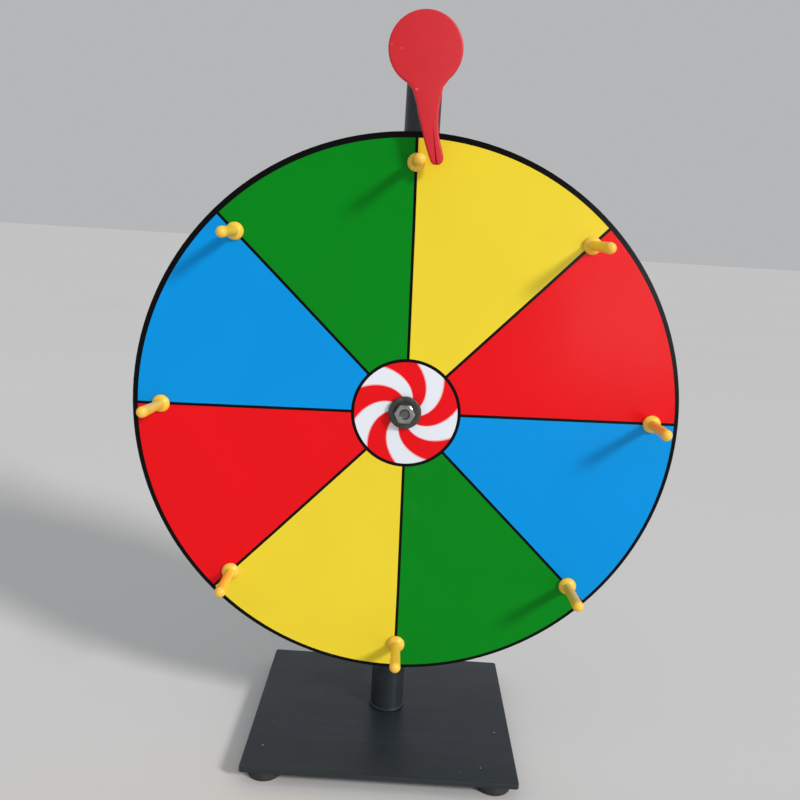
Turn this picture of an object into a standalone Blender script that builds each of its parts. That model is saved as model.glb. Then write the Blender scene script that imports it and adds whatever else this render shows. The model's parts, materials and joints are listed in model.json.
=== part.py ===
"""A tabletop prize wheel: a spinning disc with pegs, a post on a base plate, and a flexible pointer.

Metres, +Z up, front towards -Y. The origin is on the ground under the middle of the object.
"""

import math

import bmesh
import bpy

MM = 0.001
GAP = 0.3 * MM  # clearance kept between pieces that touch on the real object

# Base
PLATE_WIDTH = 152 * MM
PLATE_DEPTH = 130 * MM
PLATE_THICKNESS = 3 * MM
PLATE_CORNER = 1.5 * MM
PLATE_EDGE_ROUND = 0.4 * MM
PLATE_X = -2 * MM  # the plate's middle, a little to the left of the post
FOOT_HEIGHT = 6.7 * MM
FOOT_TOP_RADIUS = 11 * MM
FOOT_BOTTOM_RADIUS = 9.5 * MM
FOOT_INSET = 12.5 * MM
PLATE_BOTTOM = FOOT_HEIGHT + GAP
PLATE_TOP = PLATE_BOTTOM + PLATE_THICKNESS

# Post
POST_Y = 7 * MM  # behind the plate's middle, so that the wheel's weight is over the plate
POST_RADIUS = 10 * MM
POST_WALL = 1.5 * MM
POST_TOP = 402 * MM
POST_LIP_RADIUS = 10.7 * MM
POST_LIP_HEIGHT = 1.2 * MM
POST_BORE = POST_RADIUS - POST_WALL
CAP_HEIGHT = 2.8 * MM
CAP_SKIRT_LENGTH = 5 * MM
PLUG_LENGTH = 16 * MM
BASE_SCREW_LENGTH = 15 * MM

# Wheel
WHEEL_RADIUS = 150 * MM
FACE_Y = POST_Y - 35 * MM
HUB_Z = PLATE_TOP + 193 * MM
PRINT_THICKNESS = 0.6 * MM
BOARD_FRONT = PRINT_THICKNESS + GAP  # depths behind the printed face
BOARD_BACK = BOARD_FRONT + 5 * MM
BOARD_BORE = 5.3 * MM

# Pegs: their circle sits a little off the board's centre, like the print
PEG_COUNT = 8
PEG_CIRCLE = 134.7 * MM
PATTERN_X = 0.6 * MM
PATTERN_Z = -0.7 * MM
PATTERN_TURN = math.radians(-1.1)  # clockwise from upright, seen from the front
PEG_LENGTH = 32 * MM
PEG_TIP_RADIUS = 3 * MM
PEG_NECK_RADIUS = 2.6 * MM
PEG_FLANGE_RADIUS = 4.9 * MM
PEG_HOLE = 2.8 * MM
PEG_FLANGE_TOP = 4 * MM
PEG_SCREW_RADIUS = 1.2 * MM
PEG_SCREW_LENGTH = 10 * MM
# How far each soft peg's tip has drifted sideways and up, clockwise from the top peg
PEG_DRIFT_MM = (
    (1.6, -1.0),
    (3.1, -0.9),
    (-0.6, 0.6),
    (0.3, 1.3),
    (-0.1, 1.4),
    (0.6, 0.4),
    (-1.4, 1.0),
    (-0.5, -0.8),
)

# Hub and bearings; depths are behind the printed face
HUB_FLANGE_RADIUS = 28 * MM
HUB_FLANGE_THICKNESS = 2.5 * MM
HUB_SCREW_CIRCLE = 21 * MM
HUB_SCREW_COUNT = 4
HUB_SCREW_RADIUS = 1.4 * MM
HUB_SCREW_HOLE = 1.7 * MM
HUB_SCREW_LENGTH = 6.5 * MM
HOUSING_RADIUS = 12.5 * MM
BEARING_BORE = 3.3 * MM
BEARING_RADIUS = 9.5 * MM
BEARING_WIDTH = 6 * MM
BALL_COUNT = 7
BALL_RADIUS = 1.4 * MM
BALL_CIRCLE = 6.4 * MM
RACE_DEPTH = 0.9 * MM  # half the width of the ring gap left for the cage
FRONT_BEARING = BOARD_BACK + 2.6 * MM
REAR_BEARING = FRONT_BEARING + BEARING_WIDTH + GAP
HOUSING_BACK = REAR_BEARING + BEARING_WIDTH + GAP

# Axle
AXLE_RADIUS = 3 * MM
AXLE_HOLE = 3.3 * MM
HEX_FLATS = 10 * MM
BOLT_HEAD_HEIGHT = 4 * MM
HUB_WASHER_RADIUS = 9 * MM
HUB_WASHER_THICKNESS = 1.6 * MM
HUB_WASHER_LIFT = 0.9 * MM  # running gap in front of the print
SADDLE_RADIUS = 6 * MM
REAR_SADDLE_DEPTH = 3 * MM
NUT_HEIGHT = 5 * MM

# Pointer
POINTER_Z = HUB_Z + 189.2 * MM
POINTER_FRONT = 11.5 * MM  # in front of the printed face
POINTER_THICKNESS = 3 * MM
POINTER_HEAD_RADIUS = 19 * MM
POINTER_REACH = 57 * MM  # from the head's centre to the tip
POINTER_LEAN = math.radians(8.8)  # towards +X, the way it points at rest
TONGUE_TOP_HALF = 7 * MM
TONGUE_WAIST_HALF = 3.6 * MM
TONGUE_TIP_HALF = 3.4 * MM
TONGUE_WAIST = 44 * MM
TIP_NOTCH = 3.5 * MM
BOSS_RADIUS = 7 * MM
BOSS_LENGTH = 6 * MM
POINTER_SCREW_RADIUS = 2 * MM
POINTER_SCREW_HOLE = 2.3 * MM

FRONTWARD = (math.radians(90), 0, 0)  # turns a piece's own +Z to face the front
SMOOTH_ANGLE = math.radians(35)


# Materials


def make_material(name, colour, roughness, metallic=0.0):
    material = bpy.data.materials.new(name)
    material.use_nodes = True
    shader = material.node_tree.nodes["Principled BSDF"]
    shader.inputs["Base Color"].default_value = (*colour, 1)
    shader.inputs["Roughness"].default_value = roughness
    shader.inputs["Metallic"].default_value = metallic
    return material


def make_materials():
    return {
        "black_steel": make_material("black_steel", (0.028, 0.032, 0.038), 0.45, 0.2),
        "steel": make_material("steel", (0.62, 0.62, 0.6), 0.25, 1.0),
        "dark_steel": make_material("dark_steel", (0.07, 0.075, 0.07), 0.4, 0.8),
        "brass": make_material("brass", (0.78, 0.57, 0.28), 0.3, 1.0),
        "rubber": make_material("rubber", (0.015, 0.015, 0.015), 0.8),
        "black_plastic": make_material("black_plastic", (0.02, 0.02, 0.02), 0.5),
        "white_board": make_material("white_board", (0.8, 0.8, 0.78), 0.5),
        "print": make_material("print", (0.8, 0.62, 0.05), 0.15),
        "yellow_plastic": make_material("yellow_plastic", (0.92, 0.55, 0.06), 0.3),
        "red_plastic": make_material("red_plastic", (0.7, 0.02, 0.035), 0.3),
    }


# Shapes


def arc(centre_r, centre_h, radius, start, end, steps):
    """Points on an arc in a turned outline; angles in degrees from outwards towards up."""
    points = []
    for i in range(steps + 1):
        angle = math.radians(start + (end - start) * i / steps)
        points.append((centre_r + radius * math.cos(angle), centre_h + radius * math.sin(angle)))
    return points


def turned_mesh(name, outline, steps, closed):
    """A body turned about Z. The outline is (radius, height) points: a closed loop for a ring,
    or a line from the axis back to the axis for a solid."""
    bm = bmesh.new()
    rings = []
    for radius, height in outline:
        if radius < 1e-9:
            rings.append([bm.verts.new((0, 0, height))])
            continue
        ring = []
        for i in range(steps):
            angle = 2 * math.pi * i / steps
            ring.append(bm.verts.new((radius * math.cos(angle), radius * math.sin(angle), height)))
        rings.append(ring)
    pairs = list(zip(rings, rings[1:]))
    if closed:
        pairs.append((rings[-1], rings[0]))
    for lower, upper in pairs:
        for i in range(steps):
            j = (i + 1) % steps
            below = [lower[i % len(lower)], lower[j % len(lower)]]
            above = [upper[j % len(upper)], upper[i % len(upper)]]
            bm.faces.new(list(dict.fromkeys(below + above)))
    return finished_mesh(name, bm)


def prism_mesh(name, outline, thickness):
    """A flat outline in XY, extruded by the thickness towards +Z."""
    bm = bmesh.new()
    face = bm.faces.new([bm.verts.new((x, y, 0)) for x, y in outline])
    extruded = bmesh.ops.extrude_face_region(bm, geom=[face])["geom"]
    lifted = [part for part in extruded if isinstance(part, bmesh.types.BMVert)]
    bmesh.ops.translate(bm, vec=(0, 0, thickness), verts=lifted)
    return finished_mesh(name, bm)


def finished_mesh(name, bm):
    bmesh.ops.recalc_face_normals(bm, faces=bm.faces)
    mesh = bpy.data.meshes.new(name)
    bm.to_mesh(mesh)
    bm.free()
    mesh.shade_smooth()
    mesh.set_sharp_from_angle(angle=SMOOTH_ANGLE)
    return mesh


def rectangle_outline(width, depth, corner, steps=4):
    points = []
    for side_x, side_y, start in ((1, 1, 0), (-1, 1, 90), (-1, -1, 180), (1, -1, 270)):
        middle_x = side_x * (width / 2 - corner)
        middle_y = side_y * (depth / 2 - corner)
        points += arc(middle_x, middle_y, corner, start, start + 90, steps)
    return points


def hexagon_outline(flats):
    corner = flats / 2 / math.cos(math.radians(30))
    turns = [math.radians(60 * i) for i in range(6)]
    return [(corner * math.cos(turn), corner * math.sin(turn)) for turn in turns]


def tube_outline(inner, outer, low, high):
    return [(inner, low), (outer, low), (outer, high), (inner, high)]


def rod_outline(radius, low, high, chamfer=0.0):
    return [(0, low), (radius, low), (radius, high - chamfer), (radius - chamfer, high), (0, high)]


def pan_screw_outline(radius, head_radius, head_height, length):
    """A round-headed screw: the head sits below 0, and the shank points up to the length."""
    rounding = head_height * 0.5
    return [
        (0, -head_height),
        (head_radius - rounding, -head_height),
        (head_radius, -head_height + rounding),
        (head_radius, 0),
        (radius, 0),
        (radius, length - radius * 0.5),
        (radius * 0.5, length),
        (0, length),
    ]


# Placing


def add_object(name, mesh, material, location=(0, 0, 0), rotation=(0, 0, 0), parent=None):
    if not mesh.materials:
        mesh.materials.append(material)
    piece = bpy.data.objects.new(name, mesh)
    piece.location = location
    piece.rotation_euler = rotation
    piece.parent = parent
    bpy.context.scene.collection.objects.link(piece)
    return piece


def add_empty(name, location):
    empty = bpy.data.objects.new(name, None)
    empty.location = location
    bpy.context.scene.collection.objects.link(empty)
    return empty


def add_bevel(piece, width, segments=2):
    bevel = piece.modifiers.new("rounded_edges", "BEVEL")
    bevel.width = width
    bevel.segments = segments
    bevel.limit_method = "ANGLE"
    bevel.angle_limit = math.radians(40)
    return bevel


def cut(piece, cutter):
    """Cuts a hidden guide's shape out of a piece."""
    boolean = piece.modifiers.new("cut_" + cutter.name, "BOOLEAN")
    boolean.operation = "DIFFERENCE"
    boolean.object = cutter


def join_on(piece, guide):
    """Unites a hidden guide's shape with a piece."""
    boolean = piece.modifiers.new("join_" + guide.name, "BOOLEAN")
    boolean.operation = "UNION"
    boolean.object = guide


def add_guide(name, mesh, location, rotation=(0, 0, 0), parent=None):
    """A hidden shape that cuts or extends a piece."""
    guide = bpy.data.objects.new(name, mesh)
    guide.location = location
    guide.rotation_euler = rotation
    guide.parent = parent
    guide.hide_render = True
    guide.display_type = "WIRE"
    bpy.context.scene.collection.objects.link(guide)
    return guide


def add_cutter(name, radius, low, high, location, rotation=(0, 0, 0), parent=None, steps=20):
    mesh = turned_mesh(name, rod_outline(radius, low, high), steps, closed=False)
    return add_guide(name, mesh, location, rotation, parent)


# Base and post


def build_base(materials):
    outline = rectangle_outline(PLATE_WIDTH, PLATE_DEPTH, PLATE_CORNER)
    mesh = prism_mesh("base_plate", outline, PLATE_THICKNESS)
    plate = add_object("base_plate", mesh, materials["black_steel"], (PLATE_X, 0, PLATE_BOTTOM))
    add_bevel(plate, PLATE_EDGE_ROUND)
    reach = 2 * PLATE_THICKNESS
    cut(plate, add_cutter("base_screw_hole", AXLE_HOLE, -reach, reach, (0, POST_Y, PLATE_BOTTOM)))

    foot_mesh = turned_mesh("rubber_foot", foot_outline(), 24, closed=False)
    half_width = PLATE_WIDTH / 2 - FOOT_INSET
    half_depth = PLATE_DEPTH / 2 - FOOT_INSET
    for end, side_y in (("front", -1), ("rear", 1)):
        for side, side_x in (("left", -1), ("right", 1)):
            place = (PLATE_X + side_x * half_width, side_y * half_depth, 0)
            add_object(f"foot_{end}_{side}", foot_mesh, materials["rubber"], place)


def foot_outline():
    edge = 0.8 * MM
    return [
        (0, 0),
        (FOOT_BOTTOM_RADIUS - edge, 0),
        (FOOT_BOTTOM_RADIUS, edge),
        (FOOT_TOP_RADIUS, FOOT_HEIGHT - edge),
        (FOOT_TOP_RADIUS - edge, FOOT_HEIGHT),
        (0, FOOT_HEIGHT),
    ]


def build_post(materials):
    foot = PLATE_TOP + GAP
    outline = [
        (POST_BORE, foot),
        (POST_LIP_RADIUS, foot),
        (POST_LIP_RADIUS, foot + POST_LIP_HEIGHT / 2),
        (POST_RADIUS, foot + POST_LIP_HEIGHT),
        (POST_RADIUS, POST_TOP),
        (POST_BORE, POST_TOP),
    ]
    mesh = turned_mesh("post_tube", outline, 32, closed=True)
    post = add_object("post_tube", mesh, materials["black_steel"], (0, POST_Y, 0))
    for name, radius, height in (("axle", AXLE_HOLE, HUB_Z), ("pointer", POINTER_SCREW_HOLE, POINTER_Z)):
        reach = 2 * POST_RADIUS
        cut(post, add_cutter(f"post_{name}_hole", radius, -reach, reach, (0, POST_Y, height), FRONTWARD))

    cap_skirt = POST_BORE - GAP
    cap_outline = [
        (0, -CAP_SKIRT_LENGTH),
        (cap_skirt, -CAP_SKIRT_LENGTH),
        (cap_skirt, GAP),
        (POST_RADIUS, GAP),
        *arc(POST_RADIUS - MM, CAP_HEIGHT - MM, MM, 0, 90, 2),
        (0, CAP_HEIGHT),
    ]
    cap_mesh = turned_mesh("post_cap", cap_outline, 32, closed=False)
    add_object("post_cap", cap_mesh, materials["black_plastic"], (0, POST_Y, POST_TOP))

    plug_radius = POST_BORE - GAP
    thread_end = PLUG_LENGTH - 2 * MM
    plug_outline = [
        (0, thread_end),
        (AXLE_HOLE, thread_end),
        (AXLE_HOLE, 0),
        (plug_radius, 0),
        (plug_radius, PLUG_LENGTH),
        (0, PLUG_LENGTH),
    ]
    plug_mesh = turned_mesh("post_plug", plug_outline, 24, closed=False)
    add_object("post_plug", plug_mesh, materials["steel"], (0, POST_Y, foot))

    washer_thickness = 1.2 * MM
    washer_outline = tube_outline(AXLE_HOLE, 8 * MM, 0, washer_thickness)
    washer_mesh = turned_mesh("base_washer", washer_outline, 24, closed=True)
    washer_bottom = PLATE_BOTTOM - GAP - washer_thickness
    add_object("base_washer", washer_mesh, materials["steel"], (0, POST_Y, washer_bottom))
    screw_outline = pan_screw_outline(AXLE_RADIUS, 5.5 * MM, 3.4 * MM, BASE_SCREW_LENGTH)
    screw_mesh = turned_mesh("base_screw", screw_outline, 16, closed=False)
    add_object("base_screw", screw_mesh, materials["steel"], (0, POST_Y, washer_bottom - GAP))


# Wheel: every piece's own +Z faces the front, with 0 at the printed face


def peg_place(index):
    """A peg's (x, z) from the hub, clockwise from the top."""
    angle = PATTERN_TURN + 2 * math.pi * index / PEG_COUNT
    return PATTERN_X + PEG_CIRCLE * math.sin(angle), PATTERN_Z + PEG_CIRCLE * math.cos(angle)


def build_wheel(materials):
    axis = add_empty("wheel_axis", (0, FACE_Y, HUB_Z))
    for name, low, high, material in (
        ("wheel_print", -PRINT_THICKNESS, 0, "print"),
        ("wheel_board", -BOARD_BACK, -BOARD_FRONT, "white_board"),
    ):
        mesh = turned_mesh(name, tube_outline(BOARD_BORE, WHEEL_RADIUS, low, high), 80, closed=True)
        disc = add_object(name, mesh, materials[material], rotation=FRONTWARD, parent=axis)
        for i in range(PEG_COUNT):
            x, z = peg_place(i)
            hole_name = f"{name}_peg_hole_{i + 1}"
            cut(disc, add_cutter(hole_name, PEG_HOLE, -9 * MM, 3 * MM, (x, 0, z), FRONTWARD, axis, 12))
        if name == "wheel_board":
            cut_hub_screw_holes(disc, axis)
    build_pegs(materials, axis)
    build_hub(materials, axis)


def build_pegs(materials, axis):
    screw_outline = pan_screw_outline(PEG_SCREW_RADIUS, 3.8 * MM, 1.8 * MM, PEG_SCREW_LENGTH)
    screw_mesh = turned_mesh("peg_screw", screw_outline, 12, closed=False)
    for i in range(PEG_COUNT):
        x, z = peg_place(i)
        peg_mesh = turned_mesh(f"peg_{i + 1}", peg_outline(), 12, closed=False)
        lean_tip(peg_mesh, PEG_DRIFT_MM[i])
        add_object(f"peg_{i + 1}", peg_mesh, materials["yellow_plastic"], (x, 0, z), FRONTWARD, axis)
        place = (x, BOARD_BACK + GAP, z)
        add_object(f"peg_screw_{i + 1}", screw_mesh, materials["steel"], place, FRONTWARD, axis)


def peg_outline():
    """A domed flange, a neck, a shaft that widens slightly to a round tip, and a drilled spigot."""
    pilot = PEG_SCREW_RADIUS + GAP
    pilot_end = PEG_SCREW_LENGTH - BOARD_BACK + MM
    spigot = PEG_HOLE - GAP
    spigot_end = -BOARD_BACK + GAP
    tip_middle = PEG_LENGTH - PEG_TIP_RADIUS
    return [
        (0, pilot_end),
        (pilot, pilot_end),
        (pilot, spigot_end),
        (spigot, spigot_end),
        (spigot, GAP),
        (PEG_FLANGE_RADIUS, GAP),
        (PEG_FLANGE_RADIUS, 1.0 * MM),
        (PEG_FLANGE_RADIUS - 0.7 * MM, 2.0 * MM),
        (PEG_FLANGE_RADIUS - 1.8 * MM, 2.8 * MM),
        (PEG_NECK_RADIUS, PEG_FLANGE_TOP),
        (PEG_TIP_RADIUS, tip_middle),
        *arc(0, tip_middle, PEG_TIP_RADIUS, 0, 90, 3)[1:-1],
        (0, PEG_LENGTH),
    ]


def lean_tip(mesh, drift_mm):
    """Leans the shaft of a peg, and leaves its flange and spigot square to the board."""
    lean_start = 7 * MM
    for vertex in mesh.vertices:
        along = (vertex.co.z - lean_start) / (PEG_LENGTH - lean_start)
        if along > 0:
            vertex.co.x += drift_mm[0] * MM * along
            vertex.co.y += drift_mm[1] * MM * along


def hub_screw_places():
    for i in range(HUB_SCREW_COUNT):
        angle = math.radians(45) + 2 * math.pi * i / HUB_SCREW_COUNT
        yield HUB_SCREW_CIRCLE * math.sin(angle), HUB_SCREW_CIRCLE * math.cos(angle)


def cut_hub_screw_holes(board, axis):
    low = -BOARD_BACK - MM
    high = HUB_SCREW_LENGTH - HUB_FLANGE_THICKNESS + GAP - BOARD_BACK
    for i, (x, z) in enumerate(hub_screw_places()):
        name = f"board_screw_hole_{i + 1}"
        cut(board, add_cutter(name, HUB_SCREW_HOLE, low, high, (x, 0, z), FRONTWARD, axis, 12))


def build_hub(materials, axis):
    front = -BOARD_BACK - GAP
    flange_back = front - HUB_FLANGE_THICKNESS
    pocket = BEARING_RADIUS + GAP
    shoulder = -FRONT_BEARING + GAP
    outline = [
        (AXLE_HOLE + 3 * MM, front),
        (AXLE_HOLE + 3 * MM, shoulder),
        (pocket, shoulder),
        (pocket, -HOUSING_BACK),
        (HOUSING_RADIUS, -HOUSING_BACK),
        (HOUSING_RADIUS, flange_back - MM),
        (HOUSING_RADIUS + MM, flange_back),
        (HUB_FLANGE_RADIUS, flange_back),
        (HUB_FLANGE_RADIUS, front),
    ]
    mesh = turned_mesh("hub_flange", outline, 36, closed=True)
    flange = add_object("hub_flange", mesh, materials["steel"], rotation=FRONTWARD, parent=axis)
    screw_outline = pan_screw_outline(HUB_SCREW_RADIUS, 2.8 * MM, 1.6 * MM, HUB_SCREW_LENGTH)
    screw_mesh = turned_mesh("hub_screw", screw_outline, 12, closed=False)
    for i, (x, z) in enumerate(hub_screw_places()):
        name = f"flange_hole_{i + 1}"
        cut(flange, add_cutter(name, HUB_SCREW_HOLE, -12 * MM, 0, (x, 0, z), FRONTWARD, axis, 12))
        place = (x, GAP - flange_back, z)
        add_object(f"hub_screw_{i + 1}", screw_mesh, materials["steel"], place, FRONTWARD, axis)
    ring_mesh = turned_mesh("bearing_outer", outer_ring_outline(), 28, closed=True)
    for end, depth in (("front", FRONT_BEARING), ("rear", REAR_BEARING)):
        place = (0, depth + BEARING_WIDTH / 2, 0)
        add_object(f"bearing_outer_{end}", ring_mesh, materials["steel"], place, FRONTWARD, axis)


# Bearings: heights are measured from the middle of the bearing's width


def outer_ring_outline():
    """The outer ring, with a round groove for the balls in its bore."""
    half = BEARING_WIDTH / 2
    shoulder = BALL_CIRCLE + RACE_DEPTH
    groove = groove_arc(shoulder, 1)
    return [(shoulder, -half), (BEARING_RADIUS, -half), (BEARING_RADIUS, half), (shoulder, half), *groove]


def inner_ring_outline():
    """The inner ring, with a round groove for the balls on its outside."""
    half = BEARING_WIDTH / 2
    shoulder = BALL_CIRCLE - RACE_DEPTH
    groove = groove_arc(shoulder, -1)
    return [(shoulder, half), (BEARING_BORE, half), (BEARING_BORE, -half), (shoulder, -half), *groove]


def groove_arc(shoulder, side):
    """A round groove, outside the balls (side 1, downwards) or inside them (side -1, upwards)."""
    groove_radius = BALL_RADIUS + GAP
    reach = math.degrees(math.acos(abs(shoulder - BALL_CIRCLE) / groove_radius))
    if side > 0:
        return arc(BALL_CIRCLE, 0, groove_radius, reach, -reach, 4)
    return arc(BALL_CIRCLE, 0, groove_radius, 180 + reach, 180 - reach, 4)


def build_ball_cages(materials):
    """Two rings of balls held by their cages, which roll between the bearing rings."""
    axis = add_empty("bearing_axis", (0, FACE_Y, HUB_Z))
    ball_mesh = turned_mesh("bearing_ball", arc(0, 0, BALL_RADIUS, -90, 90, 6), 8, closed=False)
    half_cage = 0.6 * MM
    for end, depth in (("front", FRONT_BEARING), ("rear", REAR_BEARING)):
        cage_outline = tube_outline(BALL_CIRCLE - half_cage, BALL_CIRCLE + half_cage, -half_cage, half_cage)
        mesh = turned_mesh(f"ball_cage_{end}", cage_outline, 28, closed=True)
        place = (0, depth + BEARING_WIDTH / 2, 0)
        cage = add_object(f"ball_cage_{end}", mesh, materials["brass"], place, FRONTWARD, axis)
        for i in range(BALL_COUNT):
            angle = 2 * math.pi * i / BALL_COUNT
            place = (BALL_CIRCLE * math.cos(angle), BALL_CIRCLE * math.sin(angle), 0)
            join_on(cage, add_guide(f"ball_{end}_{i + 1}", ball_mesh, place, parent=cage))


# Axle: fixed to the post, with +Z to the front and 0 at the printed face


def build_axle(materials):
    hub = (0, FACE_Y, HUB_Z)
    washer_front = HUB_WASHER_LIFT + HUB_WASHER_THICKNESS
    chamfer = 0.3 * MM
    washer_outline = [
        (AXLE_HOLE, HUB_WASHER_LIFT),
        (HUB_WASHER_RADIUS, HUB_WASHER_LIFT),
        (HUB_WASHER_RADIUS, washer_front - chamfer),
        (HUB_WASHER_RADIUS - chamfer, washer_front),
        (AXLE_HOLE, washer_front),
    ]
    washer_mesh = turned_mesh("hub_washer", washer_outline, 28, closed=True)
    add_object("hub_washer", washer_mesh, materials["dark_steel"], hub, FRONTWARD)

    sleeve_outline = tube_outline(AXLE_HOLE, AXLE_HOLE + 1.3 * MM, GAP - FRONT_BEARING, HUB_WASHER_LIFT - GAP)
    sleeve_mesh = turned_mesh("hub_sleeve", sleeve_outline, 20, closed=True)
    add_object("hub_sleeve", sleeve_mesh, materials["steel"], hub, FRONTWARD)

    ring_mesh = turned_mesh("bearing_inner", inner_ring_outline(), 28, closed=True)
    for end, depth in (("front", FRONT_BEARING), ("rear", REAR_BEARING)):
        place = (0, FACE_Y + depth + BEARING_WIDTH / 2, HUB_Z)
        add_object(f"bearing_inner_{end}", ring_mesh, materials["steel"], place, FRONTWARD)

    post_depth = POST_Y - FACE_Y
    rear_face = post_depth + POST_RADIUS + REAR_SADDLE_DEPTH
    dark = materials["dark_steel"]
    add_saddle("axle_saddle_front", HOUSING_BACK, post_depth, AXLE_HOLE, 5.2 * MM, HUB_Z, dark)
    add_saddle("axle_saddle_rear", post_depth, rear_face, AXLE_HOLE, SADDLE_RADIUS, HUB_Z, dark)

    nut_front = rear_face + GAP
    nut_mesh = prism_mesh("axle_nut", hexagon_outline(HEX_FLATS), NUT_HEIGHT)
    place = (0, FACE_Y + nut_front + NUT_HEIGHT, HUB_Z)
    nut = add_object("axle_nut", nut_mesh, materials["steel"], place, FRONTWARD)
    add_bevel(nut, 0.4 * MM)
    cut(nut, add_cutter("axle_nut_thread", AXLE_HOLE, -NUT_HEIGHT, 2 * NUT_HEIGHT, place, FRONTWARD))

    shank_end = nut_front + NUT_HEIGHT + 2.5 * MM
    build_axle_bolt(materials, washer_front + GAP, shank_end)


def build_axle_bolt(materials, head_bottom, shank_end):
    """The bolt's hex head, with a shallow dish in its top, is united with the turned shank."""
    head_mesh = prism_mesh("axle_bolt", hexagon_outline(HEX_FLATS), BOLT_HEAD_HEIGHT)
    place = (0, FACE_Y - head_bottom, HUB_Z)
    bolt = add_object("axle_bolt", head_mesh, materials["steel"], place, FRONTWARD)
    shank_outline = rod_outline(AXLE_RADIUS, -shank_end - head_bottom, MM)
    shank_mesh = turned_mesh("axle_bolt_shank", shank_outline, 20, closed=False)
    join_on(bolt, add_guide("axle_bolt_shank", shank_mesh, place, FRONTWARD))
    dish_bottom = BOLT_HEAD_HEIGHT - 0.5 * MM
    dish_top = BOLT_HEAD_HEIGHT + MM
    cut(bolt, add_cutter("axle_bolt_dish", 3.4 * MM, dish_bottom, dish_top, place, FRONTWARD))


def add_saddle(name, front, back, hole, radius, height, material):
    """A short spacer on the post: square at one end, and hollowed to the post's curve at the other."""
    mesh = turned_mesh(name, tube_outline(hole, radius, -back, -front), 24, closed=True)
    saddle = add_object(name, mesh, material, (0, FACE_Y, height), FRONTWARD)
    hollow = POST_RADIUS + GAP
    cut(saddle, add_cutter(f"{name}_hollow", hollow, -3 * radius, 3 * radius, (0, POST_Y, height), steps=64))


# Pointer


def build_pointer(materials):
    pivot = add_empty("pointer_pivot", (0, FACE_Y, POINTER_Z))
    pivot.rotation_euler = (0, -POINTER_LEAN, 0)
    back = POINTER_FRONT - POINTER_THICKNESS
    mesh = prism_mesh("pointer", pointer_outline(), POINTER_THICKNESS)
    place = (0, -back, 0)
    pointer = add_object("pointer", mesh, materials["red_plastic"], place, FRONTWARD, pivot)
    boss_outline = rod_outline(BOSS_RADIUS, -BOSS_LENGTH, 0.5 * POINTER_THICKNESS)
    boss_mesh = turned_mesh("pointer_boss", boss_outline, 28, closed=False)
    join_on(pointer, add_guide("pointer_boss", boss_mesh, place, FRONTWARD, pivot))
    insert_radius = 3.2 * MM
    insert_depth = 5.2 * MM
    insert_start = GAP - BOSS_LENGTH
    insert_end = insert_start + insert_depth
    socket_start = -BOSS_LENGTH - MM
    socket_radius = insert_radius + GAP
    socket_end = insert_end + GAP
    cut(pointer, add_cutter("pointer_socket", socket_radius, socket_start, socket_end, place, FRONTWARD, pivot))

    insert_outline = tube_outline(POINTER_SCREW_HOLE, insert_radius, insert_start, insert_end)
    insert_mesh = turned_mesh("pointer_insert", insert_outline, 20, closed=True)
    add_object("pointer_insert", insert_mesh, materials["brass"], place, FRONTWARD, pivot)
    build_pointer_mount(materials, BOSS_LENGTH - back)


def pointer_outline():
    """The pointer's face, hanging down from the head's centre: a round head and a tapering tongue
    whose tip is split by a notch into two small lobes."""
    join = math.degrees(math.asin(TONGUE_TOP_HALF / POINTER_HEAD_RADIUS))
    head = arc(0, 0, POINTER_HEAD_RADIUS, -90 + join, 270 - join, 40)
    lobe = TONGUE_TIP_HALF / 2
    lobe_middle = -POINTER_REACH + lobe
    left_side = [(-TONGUE_WAIST_HALF, -TONGUE_WAIST)]
    left_lobe = arc(-lobe, lobe_middle, lobe, 180, 330, 5)
    notch = [(0, lobe_middle + TIP_NOTCH)]
    right_lobe = arc(lobe, lobe_middle, lobe, 210, 360, 5)
    right_side = [(TONGUE_WAIST_HALF, -TONGUE_WAIST)]
    return head + left_side + left_lobe + notch + right_lobe + right_side


def build_pointer_mount(materials, boss_depth):
    """The standoff, the screw from behind the post and its saddle washer."""
    post_depth = POST_Y - FACE_Y
    black = materials["black_plastic"]
    add_saddle("pointer_standoff", boss_depth + GAP, post_depth, POINTER_SCREW_HOLE, 6 * MM, POINTER_Z, black)
    saddle_back = post_depth + POST_RADIUS + 1.8 * MM
    add_saddle("pointer_saddle", post_depth, saddle_back, POINTER_SCREW_HOLE, 5 * MM, POINTER_Z, black)
    screw_start = saddle_back + GAP
    length = screw_start - boss_depth + 4.5 * MM
    screw_outline = pan_screw_outline(POINTER_SCREW_RADIUS, 4 * MM, 2.6 * MM, length)
    screw_mesh = turned_mesh("pointer_screw", screw_outline, 16, closed=False)
    place = (0, FACE_Y + screw_start, POINTER_Z)
    add_object("pointer_screw", screw_mesh, materials["steel"], place, FRONTWARD)


def main():
    for old in list(bpy.data.objects):
        bpy.data.objects.remove(old, do_unlink=True)
    materials = make_materials()
    build_base(materials)
    build_post(materials)
    build_wheel(materials)
    build_ball_cages(materials)
    build_axle(materials)
    build_pointer(materials)


main()
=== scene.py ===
"""The looks of a tabletop prize wheel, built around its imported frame.

Metres, +Z up, front towards -Y. Turned pieces are drawn with their own +Z as their axis, and most of
them are then turned to face the front.
"""

import json
import math

import bmesh
import bpy
from mathutils import Matrix, Vector


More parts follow.
